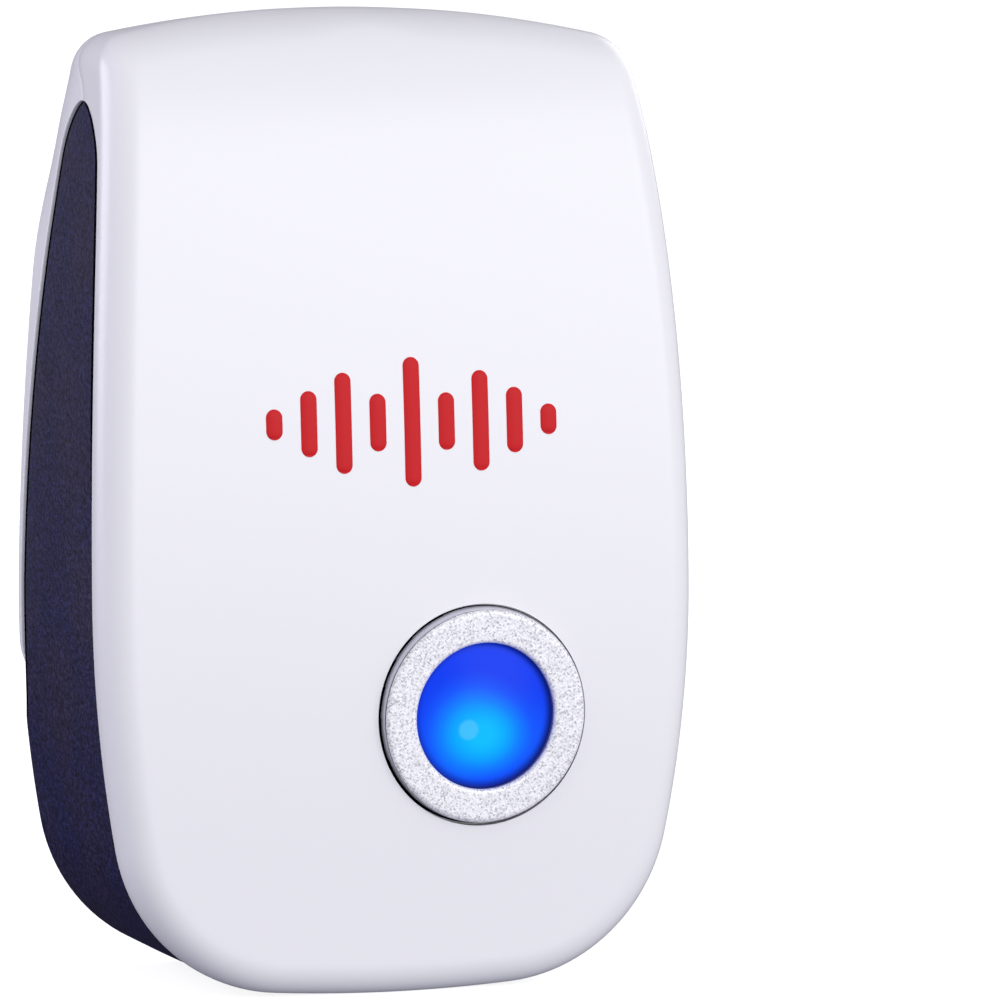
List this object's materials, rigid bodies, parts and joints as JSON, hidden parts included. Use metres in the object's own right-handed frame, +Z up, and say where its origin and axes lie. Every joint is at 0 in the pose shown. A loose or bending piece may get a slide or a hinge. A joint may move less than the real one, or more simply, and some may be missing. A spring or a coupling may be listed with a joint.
{
  "type": "ultrasonic pest repeller",
  "caption": "Wall-plug ultrasonic pest repeller: rounded white hood, dark side band, domed blue lamp window in a silver ring, flat plug blades behind.",
  "frame": {"origin": "on the flat back of the casing, midway between the two plug blades, where it rests on the wall plate", "axes": "+Z up, +Y into the wall along the plug blades, +X to the right seen from the front, so the front faces -Y"},
  "size_m": [0.0624, 0.0449, 0.0962],
  "materials": {
    "gloss_white_abs": "glossy moulded",
    "grained_blue_abs": "fine moulded grain",
    "rear_white_abs": "fine moulded grain",
    "silver_grit_ring": "fine silver grit",
    "blue_lens": "polished translucent blue",
    "red_print": "pad-printed ink",
    "blank_label": "satin film",
    "plated_blade": "nickel-plated brass",
    "zinc_screw": "zinc plated",
    "carrier_plastic": "moulded",
    "board_laminate": "solder mask",
    "red_insulation": "extruded sleeve",
    "resistor_coating": "fired coating",
    "red_epoxy": "dipped",
    "black_epoxy": "moulded epoxy",
    "capacitor_sleeve": "shrunk sleeve",
    "ferrite": "pressed and fired",
    "enamelled_copper": "enamelled wire",
    "clear_blue_epoxy": "clear cast epoxy",
    "tinned_wire": "tinned",
    "white_reflector": "glossy moulded",
    "sounder_plastic": "moulded",
    "brass_plate": "rolled",
    "piezo_ceramic": "silvered ceramic",
    "foam_rubber": "closed-cell foam"
  },
  "bodies": {
    "root": {"front_hood": "gloss_white_abs", "side_band": "grained_blue_abs", "rear_cover": "rear_white_abs", "rear_screws": "zinc_screw", "bezel_ring": "silver_grit_ring", "light_lens": "blue_lens", "front_print": "red_print", "rating_label": "blank_label", "plug_blade_left": "plated_blade", "plug_blade_right": "plated_blade", "blade_carrier": "carrier_plastic", "mains_leads": "red_insulation", "main_board": "board_laminate", "board_screws": "zinc_screw", "fusible_resistor": "resistor_coating", "film_capacitor": "red_epoxy", "bridge_diodes": "black_epoxy", "smoothing_capacitor": "capacitor_sleeve", "controller_chip": "black_epoxy", "coil_core": "ferrite", "coil_winding": "enamelled_copper", "drive_transistors": "black_epoxy", "chip_resistors": "black_epoxy", "blue_led": "clear_blue_epoxy", "led_legs": "tinned_wire", "light_cup": "white_reflector", "sounder_cup": "sounder_plastic", "sounder_plate": "brass_plate", "sounder_ceramic": "piezo_ceramic", "sounder_gasket": "foam_rubber", "sounder_leads": "red_insulation"}
  },
  "joints": []
}
